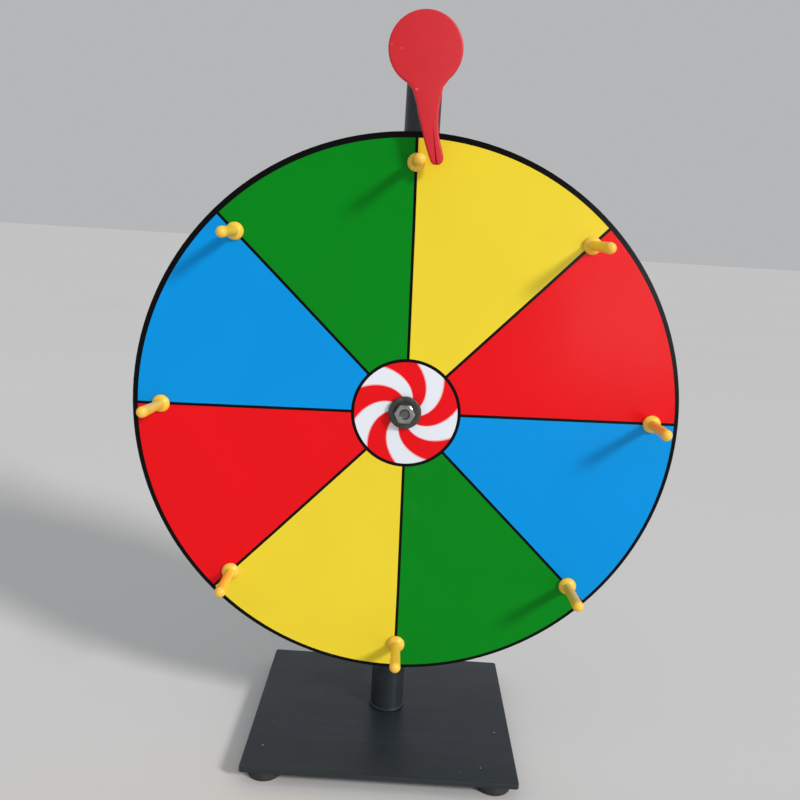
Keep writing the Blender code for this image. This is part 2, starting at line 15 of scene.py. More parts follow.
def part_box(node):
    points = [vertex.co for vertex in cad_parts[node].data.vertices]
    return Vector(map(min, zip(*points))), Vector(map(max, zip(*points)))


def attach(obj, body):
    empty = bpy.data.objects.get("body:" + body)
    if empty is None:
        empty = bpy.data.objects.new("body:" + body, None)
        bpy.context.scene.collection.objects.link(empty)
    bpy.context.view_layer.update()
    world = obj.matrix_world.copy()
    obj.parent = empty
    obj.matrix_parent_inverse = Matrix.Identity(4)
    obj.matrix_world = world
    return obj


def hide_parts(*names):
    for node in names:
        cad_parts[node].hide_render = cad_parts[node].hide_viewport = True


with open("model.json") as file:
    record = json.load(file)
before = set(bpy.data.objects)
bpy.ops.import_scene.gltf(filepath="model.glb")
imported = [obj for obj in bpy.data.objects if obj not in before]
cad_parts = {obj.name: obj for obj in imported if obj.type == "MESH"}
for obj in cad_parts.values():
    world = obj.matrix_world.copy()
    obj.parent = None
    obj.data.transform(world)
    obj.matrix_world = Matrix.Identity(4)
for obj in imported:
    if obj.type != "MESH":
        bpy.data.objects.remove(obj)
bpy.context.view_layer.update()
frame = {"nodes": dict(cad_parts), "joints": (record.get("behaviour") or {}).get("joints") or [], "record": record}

MM = 0.001
FRONTWARD = Matrix.Rotation(math.radians(90), 4, "X")
REARWARD = Matrix.Rotation(math.radians(-90), 4, "X")

# Places read from the frame
HUB = Vector(next(j["pos_m"] for j in frame["joints"] if j["name"] == "wheel_spin"))
PIVOT = Vector(next(j["pos_m"] for j in frame["joints"] if j["name"] == "pointer_flex"))
FACE_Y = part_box("wheel_print")[0].y
WHEEL_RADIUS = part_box("wheel_board")[1].x
FACE_CENTRE = Vector((0, FACE_Y, HUB.z))
GAP = 0.3 * MM
CUTTER_TURN = math.radians(1.7)
POST_AXIS = (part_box("post_tube")[0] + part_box("post_tube")[1]) / 2


def bolt_sizes():
    """The axle bolt's shank radius and head height, read off its CAD mesh."""
    node = frame["nodes"]["axle_bolt"]
    points = [vertex.co for vertex in node.data.vertices]
    front = min(point.y for point in points)
    radii = [(math.hypot(p.x - HUB.x, p.z - HUB.z), p.y) for p in points]
    shank = max(radius for radius, y in radii if y > front + 12 * MM)
    head_back = max(y for radius, y in radii if radius > shank + 0.5 * MM)
    return shank, head_back - front


SHANK_RADIUS, HEAD_HEIGHT = bolt_sizes()
SHANK_HOLE = SHANK_RADIUS + GAP

# Printed face
PRINT_RADIUS = WHEEL_RADIUS - 0.12 * MM
RIM_INNER = 147.4 * MM
SWIRL_RADIUS = 28.4 * MM
SWIRL_INNER = 7.0 * MM  # under the hub washer
RING_WIDTH = 1.8 * MM
DIVIDER_HALF = 0.8 * MM
SPOKE_STEPS = 160
BLADE_COUNT = 10
SWIRL_START = math.radians(8.7)  # the left edge of the first white blade at the swirl's rim
SWIRL_TURN = math.radians(2.3)  # how far a blade's edge turns per millimetre towards the hub
SWIRL_RINGS = 20
SECTOR_RINGS = (60 * MM, 100 * MM)  # these only split the sectors' long faces
SECTOR_COUNT = 8
SECTOR_SPAN = math.radians(360 / SECTOR_COUNT)
SECTOR_COLOURS = ("yellow", "red", "blue", "green")

# Pegs
PEG_COUNT = 8
PEG_TIP_RADIUS = 3.0 * MM
PEG_NECK = 2.55 * MM
PEG_FLANGE = 4.9 * MM
PEG_SPIGOT = 2.5 * MM
PEG_SCREW_BORE = 1.5 * MM
PEG_SHAFT_START = 4.6 * MM
PEG_LEAN_START = 4 * MM

# Pointer
POINTER_THICKNESS = 3 * MM
POINTER_HEAD = 18.95 * MM
POINTER_LEAN = math.radians(7.9)
POINTER_OFFSET = -0.86 * MM
BOSS_BORE = 3.5 * MM
BOSS_RADIUS = 7.0 * MM

# Post
POST_RADIUS = 10 * MM
POST_BORE = 8.5 * MM

# Screws: shank radius, head radius, head height
PEG_SCREW = (1.2 * MM, 3.8 * MM, 1.8 * MM)
FLANGE_SCREW = (1.4 * MM, 2.8 * MM, 1.6 * MM)
POINTER_SCREW = (2.0 * MM, 4.0 * MM, 2.6 * MM)
BASE_SCREW = (2.5 * MM, 5.5 * MM, 3.4 * MM)
FLANGE_SCREW_COUNT = 4

# Holes
PEG_HOLE = 2.8 * MM
FLANGE_SCREW_HOLE = 1.7 * MM
POINTER_SCREW_HOLE = 2.3 * MM

# Camera
CAMERA_PLACE = Vector((-2.669, -472.353, 297.049)) * MM
CAMERA_HEADING = math.radians(-0.215)
CAMERA_DIP = math.radians(8.433)
CAMERA_ROLL = math.radians(3.5)
CAMERA_LENS = 37.137
CAMERA_SHIFT_Y = -0.0488

FLOOR_SIZE = 30.0


# Node helpers


class Surface:
    """A Principled material whose colour, roughness and relief are worked out by nodes."""

    def __init__(self, name, colour, roughness, metallic=0.0, **settings):
        self.material = bpy.data.materials.new(name)
        self.material.use_nodes = True
        self.nodes = self.material.node_tree.nodes
        self.links = self.material.node_tree.links
        self.shader = self.nodes["Principled BSDF"]
        self.shader.inputs["Metallic"].default_value = metallic
        for label, value in settings.items():
            self.shader.inputs[label.replace("_", " ")].default_value = value
        place = self.nodes.new("ShaderNodeTexCoord")
        self.place = place.outputs["Object"]
        self.colour = (*colour, 1)
        self.base_roughness = roughness
        self.roughness = None
        self.relief = None

    def stretched(self, scale, turn=0.0):
        mapping = self.nodes.new("ShaderNodeMapping")
        mapping.inputs["Scale"].default_value = scale
        mapping.inputs["Rotation"].default_value = (0, turn, 0)
        self.links.new(self.place, mapping.inputs["Vector"])
        return mapping.outputs["Vector"]

    def noise(self, scale, detail=3.0, place=None):
        node = self.nodes.new("ShaderNodeTexNoise")
        node.inputs["Scale"].default_value = scale
        node.inputs["Detail"].default_value = detail
        self.links.new(place or self.place, node.inputs["Vector"])
        return node.outputs["Fac"]

    def cells(self, scale, place=None):
        node = self.nodes.new("ShaderNodeTexVoronoi")
        node.inputs["Scale"].default_value = scale
        self.links.new(place or self.place, node.inputs["Vector"])
        return node.outputs["Distance"]

    def rings(self, scale, distortion=1.5):
        node = self.nodes.new("ShaderNodeTexWave")
        node.wave_type = "RINGS"
        node.rings_direction = "Z"
        node.inputs["Scale"].default_value = scale
        node.inputs["Distortion"].default_value = distortion
        self.links.new(self.place, node.inputs["Vector"])
        return node.outputs["Fac"]

    def spread(self, value, low, high, out_low=0.0, out_high=1.0):
        node = self.nodes.new("ShaderNodeMapRange")
        node.inputs["From Min"].default_value = low
        node.inputs["From Max"].default_value = high
        node.inputs["To Min"].default_value = out_low
        node.inputs["To Max"].default_value = out_high
        self.links.new(value, node.inputs["Value"])
        return node.outputs["Result"]

    def tint(self, mask, colour):
        """Shows another colour where the mask is 1."""
        mix = self.nodes.new("ShaderNodeMix")
        mix.data_type = "RGBA"
        self.links.new(mask, mix.inputs["Factor"])
        if isinstance(self.colour, tuple):
            mix.inputs["A"].default_value = self.colour
        else:
            self.links.new(self.colour, mix.inputs["A"])
        mix.inputs["B"].default_value = (*colour, 1)
        self.colour = mix.outputs["Result"]

    def vary_roughness(self, value, low, high):
        """Adds a span of roughness, low where the value is 0 and high where it is 1."""
        change = self.spread(value, 0, 1, low, high)
        if self.roughness is None:
            self.roughness = self.spread(value, 0, 1, self.base_roughness + low, self.base_roughness + high)
            return
        total = self.nodes.new("ShaderNodeMath")
        total.operation = "ADD"
        self.links.new(self.roughness, total.inputs[0])
        self.links.new(change, total.inputs[1])
        self.roughness = total.outputs["Value"]

    def emboss(self, height, depth, strength=1.0):
        bump = self.nodes.new("ShaderNodeBump")
        bump.inputs["Distance"].default_value = depth
        bump.inputs["Strength"].default_value = strength
        self.links.new(height, bump.inputs["Height"])
        if self.relief is not None:
            self.links.new(self.relief, bump.inputs["Normal"])
        self.relief = bump.outputs["Normal"]

    def finish(self):
        if isinstance(self.colour, tuple):
            self.shader.inputs["Base Color"].default_value = self.colour
        else:
            self.links.new(self.colour, self.shader.inputs["Base Color"])
        if self.roughness is None:
            self.shader.inputs["Roughness"].default_value = self.base_roughness
        else:
            self.links.new(self.roughness, self.shader.inputs["Roughness"])
        if self.relief is not None:
            self.links.new(self.relief, self.shader.inputs["Normal"])
        return self.material


def shade(colour, factor):
    return tuple(min(1.0, channel * factor) for channel in colour)


# Materials


def printed_film(name, colour):
    """Glossy printed film: a little waviness, faint ink mottle, hairline scratches."""
    film = Surface(name, colour, 0.2, IOR=1.5, Specular_IOR_Level=0.1)
    film.tint(film.spread(film.noise(14, 2), 0.35, 0.7, 0, 0.5), shade(colour, 0.9))
    film.tint(film.spread(film.noise(1500, 2), 0.3, 0.7, 0, 0.10), shade(colour, 0.8))
    hairs = film.spread(film.noise(1, 4, film.stretched((9, 9, 900), 0.5)), 0.66, 0.74)
    film.tint(film.spread(hairs, 0, 1, 0, 0.025), (0.9, 0.9, 0.9))
    film.vary_roughness(film.noise(30, 3), -0.05, 0.08)
    film.vary_roughness(hairs, 0, 0.12)
    film.emboss(film.noise(22, 1), 0.00012, 0.25)
    film.emboss(film.noise(900, 2), 0.000004, 0.4)
    return film.finish()


def foamed_board(name):
    board = Surface(name, (0.78, 0.78, 0.76), 0.55)
    board.tint(board.spread(board.noise(40), 0.35, 0.7, 0, 0.4), (0.66, 0.66, 0.63))
    board.tint(board.spread(board.cells(1400), 0.0, 0.25, 0.35, 0), (0.5, 0.5, 0.48))
    board.vary_roughness(board.noise(300), -0.08, 0.1)
    board.emboss(board.noise(1600, 3), 0.00006, 0.5)
    return board.finish()


def powder_coat(name, colour, streak_colour):
    """Black powder coat: fine orange peel, faint streaks, a few pale dust specks."""
    coat = Surface(name, colour, 0.38, IOR=1.5, Specular_IOR_Level=0.4)
    coat.tint(coat.spread(coat.noise(9, 3), 0.35, 0.7, 0, 0.45), shade(colour, 1.5))
    streaks = coat.noise(1, 3, coat.stretched((10, 420, 420)))
    coat.tint(coat.spread(streaks, 0.45, 0.75, 0, 0.35), streak_colour)
    specks = coat.spread(coat.noise(260, 1), 0.80, 0.83)
    coat.tint(specks, (0.42, 0.43, 0.44))
    coat.vary_roughness(coat.noise(60, 4), -0.08, 0.12)
    coat.emboss(coat.noise(1100, 2), 0.00003, 0.35)
    coat.emboss(streaks, 0.00002, 0.2)
    return coat.finish()


def moulded_plastic(name, colour, roughness, depth_colour, **settings):
    """Moulded plastic: soft gloss, slight flow marks and small scuffs."""
    plastic = Surface(name, colour, roughness, IOR=1.48, **settings)
    plastic.tint(plastic.spread(plastic.noise(70, 3), 0.35, 0.7, 0, 0.5), depth_colour)
    flow = plastic.noise(1, 3, plastic.stretched((60, 60, 500)))
    plastic.tint(plastic.spread(flow, 0.5, 0.8, 0, 0.25), shade(colour, 1.12))
    scuffs = plastic.spread(plastic.noise(420, 2), 0.72, 0.78)
    plastic.tint(plastic.spread(scuffs, 0, 1, 0, 0.15), (0.95, 0.9, 0.88))
    plastic.vary_roughness(plastic.noise(150, 3), -0.06, 0.1)
    plastic.vary_roughness(scuffs, 0, 0.12)
    plastic.emboss(plastic.noise(1300, 2), 0.00002, 0.35)
    plastic.emboss(plastic.noise(120, 2), 0.00008, 0.15)
    return plastic.finish()


def machined_metal(name, colour, roughness, dull_colour):
    """Turned metal: ring-shaped tool marks, uneven polish, a few dull patches."""
    metal = Surface(name, colour, roughness, 1.0)
    metal.tint(metal.spread(metal.noise(260, 4), 0.4, 0.72, 0, 0.6), dull_colour)
    metal.tint(metal.spread(metal.noise(1800, 2), 0.62, 0.7, 0, 0.5), shade(dull_colour, 0.6))
    marks = metal.rings(1500)
    metal.vary_roughness(metal.noise(500, 3), -0.06, 0.12)
    metal.vary_roughness(marks, 0, 0.05)
    metal.emboss(marks, 0.00002, 0.3)
    metal.emboss(metal.noise(900, 3), 0.00003, 0.25)
    return metal.finish()


def dark_oxide(name):
    """Blackened steel with an oily, slightly green-brown bloom."""
    oxide = Surface(name, (0.055, 0.058, 0.05), 0.42, 0.7)
    oxide.tint(oxide.spread(oxide.noise(350, 4), 0.38, 0.7, 0, 0.8), (0.10, 0.09, 0.08))
    oxide.tint(oxide.spread(oxide.noise(900, 2), 0.6, 0.75, 0, 0.7), (0.05, 0.08, 0.05))
    oxide.vary_roughness(oxide.noise(500, 3), -0.08, 0.14)
    oxide.emboss(oxide.rings(900), 0.00003, 0.3)
    oxide.emboss(oxide.noise(1200, 3), 0.00003, 0.3)
    return oxide.finish()


def moulded_rubber(name):
    rubber = Surface(name, (0.02, 0.02, 0.021), 0.72)
    rubber.tint(rubber.spread(rubber.noise(120, 4), 0.4, 0.75, 0, 0.5), (0.05, 0.05, 0.048))
    rubber.tint(rubber.spread(rubber.noise(700, 2), 0.68, 0.74, 0, 0.4), (0.15, 0.145, 0.14))
    rubber.vary_roughness(rubber.noise(200), -0.12, 0.1)
    rubber.emboss(rubber.noise(1500, 3), 0.00005, 0.5)
    return rubber.finish()


def pale_floor(name):
    floor = Surface(name, (0.68, 0.68, 0.675), 0.6)
    floor.tint(floor.spread(floor.noise(1.5, 3), 0.35, 0.7, 0, 0.3), (0.63, 0.63, 0.625))
    floor.vary_roughness(floor.noise(6), -0.05, 0.1)
    return floor.finish()


def make_materials():
    return {
        "yellow": printed_film("film_yellow", (0.86, 0.665, 0.035)),
        "red": printed_film("film_red", (0.82, 0.006, 0.010)),
        "blue": printed_film("film_blue", (0.001, 0.295, 0.77)),
        "green": printed_film("film_green", (0.0005, 0.235, 0.010)),
        "black": printed_film("film_black", (0.002, 0.002, 0.0025)),
        "white": printed_film("film_white", (0.80, 0.83, 0.90)),
        "pink": printed_film("film_pink", (0.88, 0.42, 0.46)),
        "board": foamed_board("foamed_board"),
        "black_steel": powder_coat("powder_coat", (0.013, 0.018, 0.023), (0.036, 0.042, 0.052)),
        "yellow_plastic": moulded_plastic(
            "peg_plastic",
            (0.94, 0.585, 0.07),
            0.34,
            (0.92, 0.50, 0.035),
            Subsurface_Weight=0.3,
            Subsurface_Radius=(0.9, 0.4, 0.06),
            Subsurface_Scale=0.003,
        ),
        "red_plastic": moulded_plastic("pointer_plastic", (0.63, 0.009, 0.019), 0.4, (0.57, 0.007, 0.017)),
        "black_plastic": moulded_plastic("black_plastic", (0.022, 0.022, 0.023), 0.45, (0.03, 0.03, 0.03)),
        "steel": machined_metal("zinc_steel", (0.66, 0.66, 0.64), 0.26, (0.5, 0.5, 0.49)),
        "brass": machined_metal("brass", (0.78, 0.57, 0.28), 0.3, (0.6, 0.42, 0.2)),
        "bolt_steel": machined_metal("bolt_steel", (0.36, 0.37, 0.37), 0.2, (0.17, 0.17, 0.17)),
        # A darker steel for the floor of the bolt's dish: painted shade in the recess
        "painted_shade_dish_steel": machined_metal("painted_shade_dish_steel", (0.17, 0.17, 0.165), 0.34, (0.05, 0.05, 0.05)),
        "dark_steel": dark_oxide("dark_oxide"),
        "rubber": moulded_rubber("moulded_rubber"),
    }


# Shapes


def arc(centre_r, centre_h, radius, start, end, steps):
    """Points on an arc in an outline; angles in degrees from outwards towards up."""
    points = []
    for i in range(steps + 1):
        angle = math.radians(start + (end - start) * i / steps)
        points.append((centre_r + radius * math.cos(angle), centre_h + radius * math.sin(angle)))
    return points


def turned(outline, steps, closed):
    """A body turned about Z. The outline is (radius, height) points: a closed loop for a ring,
    or a line from the axis back to the axis for a solid."""
    bm = bmesh.new()
    rings = []
    for radius, height in outline:
        if radius < 1e-9:
            rings.append([bm.verts.new((0, 0, height))])
            continue
        turns = [2 * math.pi * i / steps for i in range(steps)]
        rings.append([bm.verts.new((radius * math.cos(t), radius * math.sin(t), height)) for t in turns])
    pairs = list(zip(rings, rings[1:]))
    if closed:
        pairs.append((rings[-1], rings[0]))
    for lower, upper in pairs:
        for i in range(steps):
            j = (i + 1) % steps
            below = [lower[i % len(lower)], lower[j % len(lower)]]
            above = [upper[j % len(upper)], upper[i % len(upper)]]
            bm.faces.new(list(dict.fromkeys(below + above)))
    return bm


def offset_outline(outline, inset):
    """The closed outline moved inwards, with each point along the bisector of its two sides."""
    moved = []
    for before, here, after in zip(outline[-1:] + outline[:-1], outline, outline[1:] + outline[:1]):
        side_in = (Vector(here) - Vector(before)).normalized()
        side_out = (Vector(after) - Vector(here)).normalized()
        normal_in = Vector((-side_in.y, side_in.x))
        normal_out = Vector((-side_out.y, side_out.x))
        bisector = (normal_in + normal_out).normalized()
        stretch = 1 / max(0.6, bisector.dot(normal_in))
        moved.append(Vector(here) + bisector * inset * stretch)
    return moved


def rounded_slab(outline, thickness, front_round, back_round, steps=5):
    """A flat piece with rounded rims. The outline runs anticlockwise in XY; the back lies at 0."""
    levels = []
    for i in range(steps + 1):
        angle = math.radians(90 * i / steps)
        levels.append((back_round * (1 - math.sin(angle)), back_round * (1 - math.cos(angle))))
    for i in range(steps + 1):
        angle = math.radians(90 * i / steps)
        inset = front_round * (1 - math.cos(angle))
        levels.append((inset, thickness - front_round * (1 - math.sin(angle))))
    bm = bmesh.new()
    rings = []
    for inset, height in levels:
        rings.append([bm.verts.new((x, y, height)) for x, y in offset_outline(outline, inset)])
    count = len(outline)
    for lower, upper in zip(rings, rings[1:]):
        for i in range(count):
            j = (i + 1) % count
            bm.faces.new([lower[i], lower[j], upper[j], upper[i]])
    bm.faces.new(rings[0][::-1])
    bm.faces.new(rings[-1])
    return bm


def rectangle(width, depth, corner, steps=6):
    points = []
    for side_x, side_y, start in ((1, 1, 0), (-1, 1, 90), (-1, -1, 180), (1, -1, 270)):
        centre_x = side_x * (width / 2 - corner)
        centre_y = side_y * (depth / 2 - corner)
        points += arc(centre_x, centre_y, corner, start, start + 90, steps)
    return points


def add_piece(name, bm, materials, body, replaced, place=Matrix(), smooth=35):
    """A finished mesh piece: placed in the row frame, riding on a body, standing for CAD nodes."""
    bmesh.ops.recalc_face_normals(bm, faces=bm.faces)
    mesh = bpy.data.meshes.new(name)
    bm.to_mesh(mesh)
    bm.free()
    mesh.shade_smooth()
    mesh.set_sharp_from_angle(angle=math.radians(smooth))
    for material in materials:
        mesh.materials.append(material)
    piece = bpy.data.objects.new(name, mesh)
    bpy.context.scene.collection.objects.link(piece)
    piece.matrix_world = place
    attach(piece, body)
    if replaced:
        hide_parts(*replaced)
    return piece


def facing_front(point):
    return Matrix.Translation(point) @ FRONTWARD


def facing_back(point):
    return Matrix.Translation(point) @ REARWARD


def rod(radius, low, high, steps=36):
    """A plain rod for cutting, turned a little so that its edges miss those of the piece it cuts."""
    bm = turned([(0, low), (radius, low), (radius, high), (0, high)], steps, False)
    return moved(bm, Matrix.Rotation(CUTTER_TURN, 4, "Z"))


def combine(bm, other, operation):
    """One closed mesh subtracted from another or united with it."""
    scratch = []
    for name, source in (("first", bm), ("second", other)):
        bmesh.ops.recalc_face_normals(source, faces=source.faces)
        mesh = bpy.data.meshes.new(name)
        source.to_mesh(mesh)
        source.free()
        scratch.append(bpy.data.objects.new(name, mesh))
        bpy.context.scene.collection.objects.link(scratch[-1])
    target, tool = scratch
    boolean = target.modifiers.new("combine", "BOOLEAN")
    boolean.operation = operation
    boolean.object = tool
    bpy.context.view_layer.update()
    evaluated = target.evaluated_get(bpy.context.evaluated_depsgraph_get())
    result = bmesh.new()
    result.from_mesh(evaluated.to_mesh())
    evaluated.to_mesh_clear()
    if len(result.faces) < len(target.data.polygons) / 2:
        raise RuntimeError("a cut removed most of its piece, so the piece or its cutter is not a sound solid")
    if any(not edge.is_manifold for edge in result.edges):
        raise RuntimeError("a cut left an open piece")
    for item in scratch:
        mesh = item.data
        bpy.data.objects.remove(item)
        bpy.data.meshes.remove(mesh)
    return result


def carve(bm, cutter):
    return combine(bm, cutter, "DIFFERENCE")


def united(bm, other):
    return combine(bm, other, "UNION")


def joined(parts):
    """Several meshes as one, each a separate closed body."""
    whole = bmesh.new()
    for part in parts:
        mesh = bpy.data.meshes.new("part")
        part.to_mesh(mesh)
        part.free()
        whole.from_mesh(mesh)
        bpy.data.meshes.remove(mesh)
    return whole


def moved(bm, matrix):
    bm.transform(matrix)
    return bm


# Printed face and board: drawn with +Z to the front and 0 at the printed face


def pattern():
    """The print's centre (x, z from the hub) and how far it is turned clockwise, from the peg screws."""
    places = []
    for i in range(1, PEG_COUNT + 1):
        low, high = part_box(f"peg_screw_{i}")
        places.append((low + high) / 2 - HUB)
    centre = sum(places, Vector()) / len(places)
    top = places[0] - centre
    return Vector((centre.x, centre.z)), math.atan2(top.x, top.z)


def spoke_angles(turn, radius):
    """Clockwise angles around the pattern: each divider's right edge, its sector, its left edge."""
    angles = []
    per_sector = SPOKE_STEPS // SECTOR_COUNT
    edge = math.asin(DIVIDER_HALF / radius)
    span = SECTOR_SPAN - 2 * edge
    for k in range(SECTOR_COUNT):
        start = turn + SECTOR_SPAN * k + edge
        angles += [start + span * i / (per_sector - 1) for i in range(per_sector)]
    return angles


def swirl_angles(radius):
    """Clockwise angles of the swirl's spokes, which turn clockwise towards the hub."""
    depth = (SWIRL_RADIUS - radius) / MM
    start = SWIRL_START + SWIRL_TURN * depth * (1 + 0.006 * depth)
    return [start + 2 * math.pi * i / SPOKE_STEPS for i in range(SPOKE_STEPS)]


def on_axle_circle(centre, angle, radius):
    """The point on a circle round the axle, seen from the pattern's centre at a clockwise angle."""
    direction = Vector((math.sin(angle), math.cos(angle)))
    along = direction.dot(centre)
    reach = -along + math.sqrt(along * along - centre.length_squared + radius * radius)
    return centre + direction * reach


def face_rings(centre, turn):
    """The face's rings of points from the bore outwards. The bore and the rim are round the axle,
    and the rings between them are round the pattern's centre."""
    bore, _ = radii_near("wheel_print", FACE_Y, HUB)
    rings = []
    for i in range(SWIRL_RINGS + 1):
        radius = SWIRL_INNER + (SWIRL_RADIUS - SWIRL_INNER) * i / SWIRL_RINGS
        rings.append(("swirl", radius, swirl_angles(radius)))
    for radius in (SWIRL_RADIUS + RING_WIDTH, *SECTOR_RINGS):
        rings.append(("sectors", radius, spoke_angles(turn, radius)))
    points = [("swirl", [on_axle_circle(centre, a, bore) for a in swirl_angles(SWIRL_INNER)])]
    for zone, radius, angles in rings:
        points.append((zone, [centre + Vector((math.sin(a), math.cos(a))) * radius for a in angles]))
    # Sideways, the black ring is printed nearer to the board's middle than the sectors are
    ring_centre = Vector((centre.x / 2, centre.y))
    ring_angles = spoke_angles(turn, RIM_INNER)
    ring = [ring_centre + Vector((math.sin(a), math.cos(a))) * RIM_INNER for a in ring_angles]
    edge_angles = spoke_angles(turn, PRINT_RADIUS)
    edge = [on_axle_circle(centre, a, PRINT_RADIUS) for a in edge_angles]
    return points + [("sectors", ring), ("rim", edge)]


def face_paint(zones, i):
    """The colour of the patch between two neighbouring rings at spoke i."""
    if zones == ("swirl", "swirl"):
        per_blade = SPOKE_STEPS // BLADE_COUNT
        blade, within = divmod(i, per_blade)
        if blade % 2 == 1:
            return "red"
        return "pink" if within in (0, per_blade - 1) else "white"
    if zones == ("sectors", "sectors"):
        per_sector = SPOKE_STEPS // SECTOR_COUNT
        sector, within = divmod(i, per_sector)
        if within == per_sector - 1:
            return "black"
        return SECTOR_COLOURS[sector % len(SECTOR_COLOURS)]
    return "black"


def build_wheel_face(materials):
    centre, turn = pattern()
    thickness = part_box("wheel_print")[1].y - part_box("wheel_print")[0].y
    paints = ("yellow", "red", "blue", "green", "black", "white", "pink", "board")
    bm = bmesh.new()
    rings = face_rings(centre, turn)
    # The swirl's spokes and the sectors' spokes start at different angles: pair up the nearest ones
    shift = round((SWIRL_START - turn) / (2 * math.pi / SPOKE_STEPS))
    front = []
    back = []
    for zone, points in rings:
        ordered = points[shift:] + points[:shift] if zone != "swirl" else points
        front.append((zone, [bm.verts.new((p.x, p.y, 0)) for p in ordered]))
        back.append([bm.verts.new((p.x, p.y, -thickness)) for p in ordered])
    for (inner_zone, inner), (outer_zone, outer) in zip(front, front[1:]):
        for i in range(SPOKE_STEPS):
            j = (i + 1) % SPOKE_STEPS
            face = bm.faces.new([inner[i], inner[j], outer[j], outer[i]])
            index = i if inner_zone == "swirl" else (i + shift) % SPOKE_STEPS
            face.material_index = paints.index(face_paint((inner_zone, outer_zone), index))
    board = paints.index("board")
    for inner, outer in zip(back, back[1:]):
        for i in range(SPOKE_STEPS):
            j = (i + 1) % SPOKE_STEPS
            bm.faces.new([outer[i], outer[j], inner[j], inner[i]]).material_index = board
    for above, below in ((front[0][1], back[0]), (front[-1][1], back[-1])):
        for i in range(SPOKE_STEPS):
            j = (i + 1) % SPOKE_STEPS
            bm.faces.new([above[i], above[j], below[j], below[i]]).material_index = board
    bm = carve(bm, peg_hole_cutters())
    slots = [materials[paint] for paint in paints]
    add_piece("wheel_film", bm, slots, "wheel", ["wheel_print"], facing_front(FACE_CENTRE))


def place_from_hub(node):
    """A node's middle as seen from the front, measured from the hub."""
    low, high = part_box(node)
    middle = (low + high) / 2 - HUB
    return Vector((middle.x, middle.z, 0))


def peg_hole_cutters():
    cutters = []
    for i in range(1, PEG_COUNT + 1):
        hole = rod(PEG_HOLE, -12 * MM, 4 * MM, 24)
        cutters.append(moved(hole, Matrix.Translation(place_from_hub(f"peg_screw_{i}"))))
    return joined(cutters)


def flange_screw_cutters(low, high):
    cutters = []
    for i in range(1, FLANGE_SCREW_COUNT + 1):
        hole = rod(FLANGE_SCREW_HOLE, low, high, 24)
        cutters.append(moved(hole, Matrix.Translation(place_from_hub(f"hub_screw_{i}"))))
    return joined(cutters)


def build_board(materials):
    low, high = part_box("wheel_board")
    front = FACE_Y - low.y
    back = FACE_Y - high.y
    soft = 0.5 * MM
    radius = WHEEL_RADIUS
    bore, _ = radii_near("wheel_board", low.y, HUB)
    outline = [
        (bore, back),
        *arc(radius - soft, back + soft, soft, -90, 0, 3),
        *arc(radius - soft, front - soft, soft, 0, 90, 3),
        (bore, front),
    ]
    bm = carve(turned(outline, 240, True), peg_hole_cutters())
    screw_end = FACE_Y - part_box("hub_screw_1")[0].y + GAP
    bm = carve(bm, flange_screw_cutters(back - MM, screw_end))
    place = facing_front(FACE_CENTRE)
    add_piece("board_disc", bm, [materials["board"]], "wheel", ["wheel_board"], place)


# Pegs


def peg_tip(index):
    """Where the peg's tip is, relative to its foot on the printed face, in the peg's own axes."""
    vertices = frame["nodes"][f"peg_{index}"].data.vertices
    tip = min(vertices, key=lambda vertex: vertex.co.y).co
    low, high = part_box(f"peg_screw_{index}")
    foot = (low + high) / 2
    return Vector((tip.x - foot.x, tip.z - foot.z, FACE_Y - tip.y)), Vector((foot.x, FACE_Y, foot.z))


def peg_outline(length, board_back, screw_end):
    """The blind screw hole and the spigot, then the domed flange, the flared shaft and the round tip."""
    outline = [(0, screw_end), (PEG_SCREW_BORE, screw_end), (PEG_SCREW_BORE, board_back)]
    outline += [(PEG_SPIGOT, board_back), (PEG_SPIGOT, 0.1 * MM), (PEG_FLANGE - 0.3 * MM, 0.1 * MM)]
    outline += arc(PEG_FLANGE - 0.9 * MM, 1.0 * MM, 0.9 * MM, -45, 40, 5)
    outline += arc(PEG_FLANGE - 3.4 * MM, 0.2 * MM, 3.2 * MM, 52, 72, 4)
    outline += [(PEG_NECK + 0.25 * MM, 3.75 * MM), (PEG_NECK + 0.03 * MM, PEG_SHAFT_START)]
    shaft_steps = 12
    shaft_end = length - PEG_TIP_RADIUS
    for k in range(1, shaft_steps + 1):
        t = k / shaft_steps
        height = PEG_SHAFT_START + (shaft_end - PEG_SHAFT_START) * t
        outline.append((PEG_NECK + (PEG_TIP_RADIUS - PEG_NECK) * t ** 1.6, height))
    outline += arc(0, shaft_end, PEG_TIP_RADIUS, 0, 90, 8)[1:-1]
    return outline + [(0, length)]


def bend_towards(bm, tip):
    """Leans a peg's shaft towards its tip, a little more steeply with its length."""
    for vertex in bm.verts:
        along = (vertex.co.z - PEG_LEAN_START) / (tip.z - PEG_LEAN_START)
        if along > 0:
            vertex.co.x += tip.x * along ** 1.2
            vertex.co.y += tip.y * along ** 1.2


def build_pegs(materials):
    material = [materials["yellow_plastic"]]
    board_back = FACE_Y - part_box("wheel_board")[1].y + GAP
    for i in range(1, PEG_COUNT + 1):
        tip, foot = peg_tip(i)
        screw_end = FACE_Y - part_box(f"peg_screw_{i}")[0].y + GAP
        bm = turned(peg_outline(tip.z, board_back, screw_end), 40, False)
        bend_towards(bm, tip)
        place = facing_front(foot)
        add_piece(f"soft_peg_{i}", bm, material, "wheel", [f"peg_{i}"], place)


# Pointer: drawn in its own plane, with the head's centre at 0, the tongue down -Y and +Z to the front


